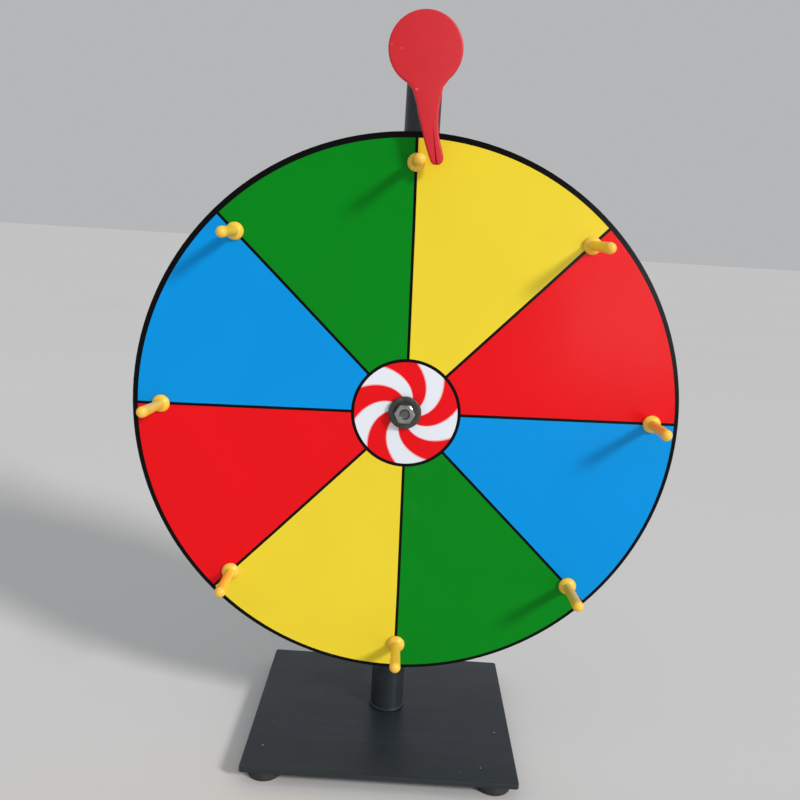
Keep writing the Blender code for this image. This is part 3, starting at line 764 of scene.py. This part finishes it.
def pointer_outline():
    top_half = 8.1 * MM
    join = math.degrees(math.asin(top_half / POINTER_HEAD))
    shoulder = 9  # degrees of the head's rim given up to the curve into the tongue, at each side
    points = arc(0, 0, POINTER_HEAD, -90 + join + shoulder, 270 - join - shoulder, 72)
    waist = 43.5 * MM
    left_top = (-top_half - 0.2 * MM, -18.9 * MM)
    right_top = (top_half - 0.7 * MM, -19.3 * MM)
    left = [(-7.7 * MM, -21.5 * MM), (-6.8 * MM, -26 * MM), (-6.2 * MM, -32 * MM), (-5.2 * MM, -38 * MM)]
    left += [(-4.4 * MM, -waist), (-3.3 * MM, -49 * MM), (-2.3 * MM, -53.4 * MM)]
    left_lobe = [(-1.7 * MM, -55.5 * MM), (-1.1 * MM, -56.6 * MM), (-0.2 * MM, -57.2 * MM)]
    right_lobe = [(0.9 * MM, -57.4 * MM), (2.1 * MM, -57.5 * MM), (3.3 * MM, -57.2 * MM)]
    right_lobe += [(4.3 * MM, -56.4 * MM), (4.9 * MM, -55.2 * MM)]
    right = [(5.05 * MM, -53.6 * MM), (4.6 * MM, -50 * MM), (3.9 * MM, -46 * MM), (3.45 * MM, -42 * MM)]
    right += [(3.7 * MM, -36 * MM), (4.5 * MM, -30 * MM), (5.9 * MM, -24.5 * MM), (6.8 * MM, -21.5 * MM)]
    return points + [left_top] + left + left_lobe + right_lobe + right + [right_top]


def build_pointer(materials):
    """The blade, creased down its tongue, and the boss behind it that takes the insert."""
    low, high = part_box("pointer")
    bm = rounded_slab(pointer_outline(), POINTER_THICKNESS, 1.05 * MM, 0.5 * MM)
    boss_end = low.y + POINTER_THICKNESS - high.y
    soft = 0.4 * MM
    boss_outline = [(BOSS_BORE, soft), (BOSS_BORE, boss_end), (BOSS_RADIUS - soft, boss_end)]
    boss_outline += [(BOSS_RADIUS, boss_end + soft), (BOSS_RADIUS, -0.6 * MM), (8.2 * MM, soft)]
    boss = turned(boss_outline, 48, True)
    slab = carve(bm, crease_cutter())
    lean = Matrix.Rotation(POINTER_LEAN, 4, "Z")
    blade = moved(slab, Matrix.Translation((POINTER_OFFSET, 0, 0)) @ lean)
    whole = united(blade, boss)
    place = facing_front(Vector((0, low.y + POINTER_THICKNESS, PIVOT.z)))
    material = [materials["red_plastic"]]
    add_piece("pointer_blade", whole, material, "pointer", ["pointer"], place)


def crease_cutter():
    """A V-shaped groove in the tongue's face. It deepens until it parts the tip into two lobes."""
    above_face = POINTER_THICKNESS + 0.05 * MM
    top = Vector((0.55 * MM, -35 * MM, above_face))
    bottom = Vector((1.3 * MM, -61 * MM, above_face))
    half = Vector((0.62 * MM, 0, 0))
    depth = Vector((0, 0, 1.5 * MM))
    points = [top, bottom - half, bottom + half, bottom - depth]
    bm = bmesh.new()
    corners = [bm.verts.new(point) for point in points]
    for a, b, c in ((0, 1, 2), (0, 2, 3), (0, 3, 1), (1, 3, 2)):
        bm.faces.new([corners[a], corners[b], corners[c]])
    return bm


# Hub, axle and fasteners


def build_hub_washer(materials):
    low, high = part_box("hub_washer")
    thickness = high.y - low.y
    radius = (high.x - low.x) / 2
    outline = [
        (SHANK_HOLE, 0),
        *arc(radius - 0.35 * MM, 0.35 * MM, 0.35 * MM, -90, 0, 3),
        *arc(radius - 0.6 * MM, thickness - 0.6 * MM, 0.6 * MM, 0, 90, 4),
        (5.6 * MM, thickness - 0.02 * MM),
        (5.4 * MM, thickness - 0.12 * MM),
        (5.2 * MM, thickness - 0.02 * MM),
        (SHANK_HOLE, thickness),
    ]
    place = facing_front(Vector((0, high.y, HUB.z)))
    bm = turned(outline, 72, True)
    material = [materials["dark_steel"]]
    add_piece("hub_washer_turned", bm, material, "stand", ["hub_washer"], place)


def hex_head(flats, height, both_ends=False):
    """A hexagon prism whose corners are turned off in the usual 30 degree cone."""
    cone = math.radians(30)
    corner = flats / 2 / math.cos(math.radians(30))
    face_radius = flats / 2 * 0.96
    steps = 12
    sides = []
    for side in range(6):
        turns = math.radians(60 * side), math.radians(60 * (side + 1))
        start, end = (Vector((math.cos(turn), math.sin(turn))) * corner for turn in turns)
        sides += [start.lerp(end, k / steps) for k in range(steps)]
    drops = [(point.length - face_radius) * math.tan(cone) for point in sides]
    rims = [point.normalized() * face_radius for point in sides]
    levels = []
    if both_ends:
        levels.append([(p.x, p.y, 0) for p in rims])
    levels.append([(p.x, p.y, drop if both_ends else 0) for p, drop in zip(sides, drops)])
    levels.append([(p.x, p.y, height - drop) for p, drop in zip(sides, drops)])
    levels.append([(p.x, p.y, height) for p in rims])
    bm = bmesh.new()
    rings = [[bm.verts.new(point) for point in level] for level in levels]
    for lower, upper in zip(rings, rings[1:]):
        for i in range(len(sides)):
            j = (i + 1) % len(sides)
            bm.faces.new([lower[i], lower[j], upper[j], upper[i]])
    bm.faces.new(rings[0][::-1])
    bm.faces.new(rings[-1])
    return bm


def build_axle_bolt(materials):
    """The bolt: hex head with a dished top painted darker as shade, and a shank with a rolled thread at its end.
    """
    low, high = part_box("axle_bolt")
    flats = high.z - low.z
    dish_radius = 0.32 * flats
    dish_floor = HEAD_HEIGHT - 0.5 * MM
    hair = 0.01 * MM
    dish_outline = [
        (0, dish_floor),
        (dish_radius - 1.1 * MM, dish_floor),
        (dish_radius, HEAD_HEIGHT + 0.1 * MM),
        (dish_radius, HEAD_HEIGHT + 2 * MM),
        (0, HEAD_HEIGHT + 2 * MM),
    ]
    off_line = Matrix.Rotation(CUTTER_TURN, 4, "Z")
    head = carve(hex_head(flats, HEAD_HEIGHT), moved(turned(dish_outline, 48, False), off_line))
    shank_length = high.y - low.y - HEAD_HEIGHT
    shank_outline = threaded_rod_outline(SHANK_RADIUS, -shank_length, MM, 14 * MM)
    whole = united(head, moved(turned(shank_outline, 36, False), off_line))
    # Painted shade in the dish: its sloping wall takes the dark oxide and its floor a darker steel, so the recess
    # is darker than the rest of the head
    for face in whole.faces:
        middle = face.calc_center_median()
        if math.hypot(middle.x, middle.y) > dish_radius or middle.z < dish_floor - hair:
            continue
        if middle.z < HEAD_HEIGHT - hair:
            face.material_index = 1 if middle.z > dish_floor + hair else 2
    place = facing_front(Vector((0, low.y + HEAD_HEIGHT, HUB.z)))
    slots = [materials["bolt_steel"], materials["dark_steel"], materials["painted_shade_dish_steel"]]
    add_piece("axle_hex_bolt", whole, slots, "stand", ["axle_bolt"], place, smooth=25)


def threaded_rod_outline(radius, low, high, thread_length, pitch=0.8):
    """A rod whose lower end carries thread crests, from its low end up."""
    root = radius - 0.35 * MM
    outline = [(0, low), (root - 0.3 * MM, low), (root, low + 0.3 * MM)]
    height = low + 0.4 * MM
    while height < low + thread_length:
        outline += [(root, height), (radius, height + pitch * 0.4 * MM), (radius, height + pitch * 0.55 * MM)]
        height += pitch * MM
    outline += [(radius, height), (radius, high), (0, high)]
    return outline


def build_axle_nut(materials):
    low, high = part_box("axle_nut")
    flats = high.z - low.z
    height = high.y - low.y
    place = facing_back(Vector((0, low.y, HUB.z)))
    bm = carve(hex_head(flats, height, both_ends=True), rod(SHANK_HOLE, -MM, height + MM))
    add_piece("axle_lock_nut", bm, [materials["steel"]], "stand", ["axle_nut"], place, smooth=25)


def pan_head_screw(sizes, whole_length):
    """A pan-head screw with a cross recess. Its head stands up from 0 and its shank hangs down."""
    shank_radius, head_radius, head_height = sizes
    length = whole_length - head_height
    outline = [(0, -length), (0.15 * MM, -length), (shank_radius * 0.7, -length + 2 * shank_radius)]
    height = -length + 2 * shank_radius
    while height < -1.2 * MM:
        outline += [(shank_radius * 0.72, height), (shank_radius, height + 0.3 * MM)]
        outline.append((shank_radius, height + 0.4 * MM))
        height += 0.9 * MM
    outline += [(shank_radius * 0.8, height), (shank_radius * 0.8, 0), (head_radius - 0.15 * MM, 0)]
    outline += arc(head_radius - 0.3 * MM, 0.45 * MM, 0.3 * MM, -60, 20, 3)
    crown = head_height * 0.92
    for k in range(1, 7):
        t = k / 7
        radius = head_radius * math.cos(math.radians(14 + 70 * t))
        outline.append((radius, 0.5 * MM + (crown - 0.5 * MM) * math.sin(math.radians(90 * t))))
    outline.append((0, head_height))
    head = turned(outline, 36, False)
    for turn in (0, 90):
        arm = bmesh.new()
        bmesh.ops.create_cube(arm, size=1.0)
        arm.transform(Matrix.Diagonal((head_radius * 1.15, head_radius * 0.26, head_height * 1.2, 1)))
        arm.transform(Matrix.Rotation(math.radians(turn), 4, "Z"))
        arm.transform(Matrix.Translation((0, 0, head_height * 1.05)))
        head = carve(head, arm)
    return head


def radii_near(node, depth, centre):
    """The smallest and largest distance of the CAD vertices at one depth from a front-to-back axis."""
    points = [vertex.co for vertex in frame["nodes"][node].data.vertices]
    near = [point for point in points if abs(point.y - depth) < 0.05 * MM]
    radii = [math.hypot(point.x - centre.x, point.z - centre.z) for point in near]
    return min(radii), max(radii)


def build_flange(materials):
    """The hub flange behind the board: a plate that runs in a fillet into the bearing housing."""
    low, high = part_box("hub_flange")
    bore, rim = radii_near("hub_flange", low.y, HUB)
    pocket, housing = radii_near("hub_flange", high.y, HUB)
    front = FACE_Y - low.y
    back = FACE_Y - high.y
    shoulder = FACE_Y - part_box("bearing_outer_front")[0].y + GAP
    bevel = 0.3 * MM
    plate_back = front - 2.5 * MM
    fillet = 1.0 * MM
    soft = 0.5 * MM
    outline = [(bore, front), (bore, shoulder), (pocket, shoulder)]
    outline += [(pocket, back + bevel), (pocket + bevel, back)]
    outline += arc(housing - soft, back + soft, soft, -90, 0, 4)
    outline += arc(housing + fillet, plate_back - fillet, fillet, 180, 90, 5)
    outline += arc(rim - soft, plate_back + soft, soft, -90, 0, 4)
    outline += [(rim, front - bevel), (rim - bevel, front)]
    bm = carve(turned(outline, 96, True), flange_screw_cutters(back, front + MM))
    place = facing_front(FACE_CENTRE)
    add_piece("flange_turned", bm, [materials["steel"]], "wheel", ["hub_flange"], place)


def build_saddles(materials):
    """Spacers on the post: softly edged at the square end, hollowed to the post at the other."""
    post_radius = (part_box("post_cap")[1].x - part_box("post_cap")[0].x) / 2 + GAP
    saddles = (
        ("axle_saddle_front", SHANK_HOLE, "dark_steel"),
        ("axle_saddle_rear", SHANK_HOLE, "dark_steel"),
        ("pointer_standoff", POINTER_SCREW_HOLE, "black_plastic"),
        ("pointer_saddle", POINTER_SCREW_HOLE, "black_plastic"),
    )
    for node, hole, slot in saddles:
        low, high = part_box(node)
        in_front = low.y < POST_AXIS.y - post_radius
        radius = (high.x - low.x) / 2
        length = POST_AXIS.y - low.y if in_front else high.y - POST_AXIS.y
        soft = 0.45 * MM
        outline = [(hole, 0), (radius, 0), (radius, length - soft)]
        outline += arc(radius - soft, length - soft, soft, 0, 90, 4)[1:]
        outline += [(hole + 0.25 * MM, length), (hole, length - 0.25 * MM)]
        reach = 3 * radius
        post = rod(post_radius, -reach, reach, 96)
        bm = carve(turned(outline, 64, True), moved(post, FRONTWARD))
        middle = Vector((0, POST_AXIS.y, (low.z + high.z) / 2))
        place = facing_front(middle) if in_front else facing_back(middle)
        add_piece(f"{node}_turned", bm, [materials[slot]], "stand", [node], place)


def add_back_screw(materials, name, body, node, sizes, turn=0):
    """A screw driven in from behind, with its recess turned by some degrees."""
    low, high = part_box(node)
    bm = pan_head_screw(sizes, high.y - low.y)
    centre = (low + high) / 2
    head_height = sizes[2]
    place = facing_back(Vector((centre.x, high.y - head_height, centre.z)))
    place = place @ Matrix.Rotation(math.radians(turn), 4, "Z")
    add_piece(name, bm, [materials["steel"]], body, [node], place)


def build_screws(materials):
    for i in range(1, PEG_COUNT + 1):
        add_back_screw(materials, f"peg_back_screw_{i}", "wheel", f"peg_screw_{i}", PEG_SCREW, 17 * i)
    for i in range(1, FLANGE_SCREW_COUNT + 1):
        add_back_screw(materials, f"flange_screw_{i}", "wheel", f"hub_screw_{i}", FLANGE_SCREW, 31 * i)
    add_back_screw(materials, "pointer_long_screw", "stand", "pointer_screw", POINTER_SCREW)
    low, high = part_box("base_screw")
    bm = pan_head_screw(BASE_SCREW, high.z - low.z)
    down = Matrix.Rotation(math.radians(180), 4, "X")
    head_height = BASE_SCREW[2]
    place = Matrix.Translation((POST_AXIS.x, POST_AXIS.y, low.z + head_height)) @ down
    add_piece("base_pan_screw", bm, [materials["steel"]], "stand", ["base_screw"], place)


# Stand


def build_plate(materials):
    low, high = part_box("base_plate")
    size = high - low
    bm = rounded_slab(rectangle(size.x, size.y, 1.6 * MM), size.z, 0.45 * MM, 0.35 * MM)
    middle = (low + high) / 2
    to_post = Matrix.Translation((POST_AXIS.x - middle.x, POST_AXIS.y - middle.y, 0))
    bm = carve(bm, moved(rod(SHANK_HOLE, -MM, 5 * MM), to_post))
    place = Matrix.Translation((middle.x, middle.y, low.z))
    add_piece("base_sheet", bm, [materials["black_steel"]], "stand", ["base_plate"], place)


def build_post(materials):
    low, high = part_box("post_tube")
    lip = (high.x - low.x) / 2
    height = high.z - low.z
    outline = [
        (POST_BORE, 0),
        (lip - 0.2 * MM, 0),
        (lip, 0.2 * MM),
        *arc(lip - 0.45 * MM, 0.6 * MM, 0.45 * MM, 0, 75, 4),
        (POST_RADIUS + 0.08 * MM, 1.25 * MM),
        (POST_RADIUS, 1.7 * MM),
        (POST_RADIUS, height - 0.3 * MM),
        (POST_RADIUS - 0.3 * MM, height),
        (POST_BORE, height),
    ]
    bm = turned(outline, 96, True)
    for centre, hole_radius in ((HUB, SHANK_HOLE), (PIVOT, POINTER_SCREW_HOLE)):
        across = Matrix.Translation((0, 0, centre.z - low.z)) @ FRONTWARD
        bm = carve(bm, moved(rod(hole_radius, -20 * MM, 20 * MM), across))
    place = Matrix.Translation((POST_AXIS.x, POST_AXIS.y, low.z))
    add_piece("post_pipe", bm, [materials["black_steel"]], "stand", ["post_tube"], place)


def build_post_cap(materials):
    low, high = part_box("post_cap")
    radius = (high.x - low.x) / 2
    top = high.z - low.z
    skirt = 8.2 * MM
    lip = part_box("post_tube")[1].z + GAP - low.z
    outline = [
        (0, 1.0 * MM),
        (skirt - 1.4 * MM, 1.0 * MM),
        (skirt - 1.4 * MM, 0),
        (skirt - 0.3 * MM, 0),
        (skirt, 0.3 * MM),
        (skirt, lip),
        (radius, lip),
        *arc(radius - 1.3 * MM, top - 1.6 * MM, 1.3 * MM, 0, 80, 6),
        (radius * 0.5, top - 0.12 * MM),
        (0, top),
    ]
    bm = turned(outline, 72, False)
    place = Matrix.Translation((POST_AXIS.x, POST_AXIS.y, low.z))
    add_piece("post_end_cap", bm, [materials["black_plastic"]], "stand", ["post_cap"], place)


def build_feet(materials):
    for end in ("front", "rear"):
        for side in ("left", "right"):
            node = f"foot_{end}_{side}"
            low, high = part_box(node)
            top = (high.x - low.x) / 2
            bottom = top - 1.5 * MM
            height = high.z - low.z
            outline = [(0, 2.2 * MM), (3.6 * MM, 2.2 * MM), (4.2 * MM, 0.4 * MM), (4.6 * MM, 0)]
            outline += [(6.4 * MM, 0), (6.7 * MM, 0.35 * MM), (7.0 * MM, 0)]
            outline += arc(bottom - 0.8 * MM, 0.8 * MM, 0.8 * MM, -90, -5, 5)
            outline += arc(top - 0.9 * MM, height - 0.9 * MM, 0.9 * MM, 5, 90, 5)
            outline += [(0, height)]
            bm = turned(outline, 64, False)
            centre = (low + high) / 2
            place = Matrix.Translation((centre.x, centre.y, low.z))
            add_piece(f"rubber_{node}", bm, [materials["rubber"]], "stand", [node], place)


def finish_cad_nodes(materials):
    """The CAD nodes that stay get the material of their slot."""
    slots = {entry["node"]: entry["material_slot"] for entry in frame["record"]["subparts"]}
    for name, node in frame["nodes"].items():
        slot = slots[name]
        material = materials["white"] if slot == "print" else materials[slot]
        for index in range(len(node.material_slots)):
            node.material_slots[index].material = material


# Stage


def build_stage():
    bm = bmesh.new()
    bmesh.ops.create_grid(bm, x_segments=8, y_segments=8, size=FLOOR_SIZE)
    mesh = bpy.data.meshes.new("floor")
    bm.to_mesh(mesh)
    bm.free()
    mesh.materials.append(pale_floor("pale_floor"))
    floor = bpy.data.objects.new("floor", mesh)
    bpy.context.scene.collection.objects.link(floor)


def add_area_light(name, place, target, size, power, colour, beam=math.pi):
    """A rectangular lamp. A narrow beam keeps its light off the floor around the object."""
    data = bpy.data.lights.new(name, "AREA")
    data.spread = beam
    data.shape = "RECTANGLE"
    data.size, data.size_y = size
    data.energy = power
    data.color = colour
    light = bpy.data.objects.new(name, data)
    light.location = place
    light.rotation_euler = (Vector(target) - Vector(place)).to_track_quat("-Z", "Y").to_euler()
    bpy.context.scene.collection.objects.link(light)


def add_sun(name, source, strength, spread, colour):
    """Parallel light that comes from the source direction, with soft edges to its shadows."""
    data = bpy.data.lights.new(name, "SUN")
    data.energy = strength
    data.angle = spread
    data.color = colour
    light = bpy.data.objects.new(name, data)
    light.rotation_euler = (-Vector(source)).to_track_quat("-Z", "Y").to_euler()
    bpy.context.scene.collection.objects.link(light)


def build_lights():
    add_sun(
        "window",
        source=(0.655, -0.584, 0.495),
        strength=2.25,
        spread=math.radians(10),
        colour=(1.0, 0.985, 0.96),
    )
    add_area_light(
        "sky",
        place=(-0.3, -0.9, 2.2),
        target=tuple(HUB),
        size=(2.4, 2.4),
        power=3,
        colour=(0.96, 0.98, 1.0),
    )
    add_area_light(
        "glow",
        place=(0.52, -1.5, 0.14),
        target=(0.1, -0.028, 0.24),
        size=(0.3, 0.5),
        power=0.12,
        colour=(1.0, 0.98, 0.96),
        beam=math.radians(40),
    )
    world = bpy.data.worlds.new("studio")
    world.use_nodes = True
    background = world.node_tree.nodes["Background"]
    background.inputs["Color"].default_value = (0.86, 0.87, 0.89, 1)
    background.inputs["Strength"].default_value = 0.54
    bpy.context.scene.world = world
    bpy.context.scene.view_settings.view_transform = "Standard"


def build_camera():
    data = bpy.data.cameras.new("camera")
    data.lens = CAMERA_LENS
    data.shift_y = CAMERA_SHIFT_Y
    camera = bpy.data.objects.new("camera", data)
    level = math.cos(CAMERA_DIP)
    look = Vector((math.sin(CAMERA_HEADING) * level, math.cos(CAMERA_HEADING) * level, -math.sin(CAMERA_DIP)))
    camera.matrix_world = (
        Matrix.Translation(CAMERA_PLACE)
        @ look.to_track_quat("-Z", "Y").to_matrix().to_4x4()
        @ Matrix.Rotation(CAMERA_ROLL, 4, "Z")
    )
    bpy.context.scene.collection.objects.link(camera)
    bpy.context.scene.camera = camera


def main():
    materials = make_materials()
    build_stage()
    build_lights()
    build_camera()
    finish_cad_nodes(materials)
    build_wheel_face(materials)
    build_board(materials)
    build_pegs(materials)
    build_pointer(materials)
    build_hub_washer(materials)
    build_axle_bolt(materials)
    build_axle_nut(materials)
    build_flange(materials)
    build_saddles(materials)
    build_screws(materials)
    build_plate(materials)
    build_post(materials)
    build_post_cap(materials)
    build_feet(materials)


main()
